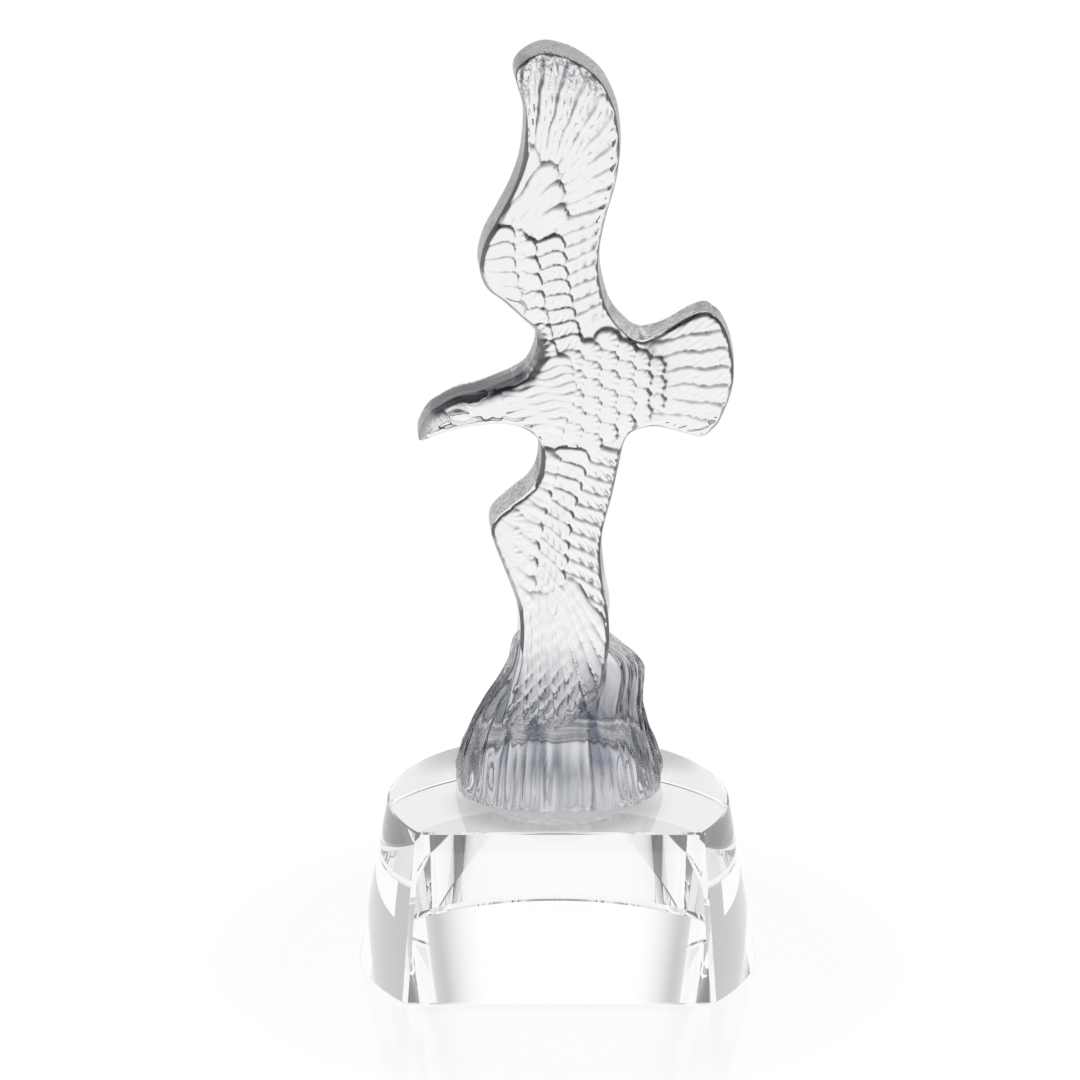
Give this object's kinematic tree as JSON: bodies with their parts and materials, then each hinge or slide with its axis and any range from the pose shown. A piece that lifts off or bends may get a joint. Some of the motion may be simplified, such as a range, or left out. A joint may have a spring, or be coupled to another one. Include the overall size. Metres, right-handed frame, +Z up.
{
  "type": "glass eagle trophy",
  "caption": "Clear pressed-glass eagle with raised wings on a rocky foot, standing on a cut crystal base block with a sloping front face.",
  "frame": {"origin": "on the floor, under the middle of the base block's round", "axes": "+Z up to the wing tip, -Y out of the front face and the carved side, +X to the tail"},
  "size_m": [0.132, 0.109, 0.3048],
  "materials": {
    "pressed_crystal": "fire-polished clear glass, satin on the narrow walls",
    "cut_crystal": "cut and polished clear glass"
  },
  "bodies": {
    "root": {"eagle_casting": "pressed_crystal", "crystal_base": "cut_crystal"}
  },
  "joints": []
}
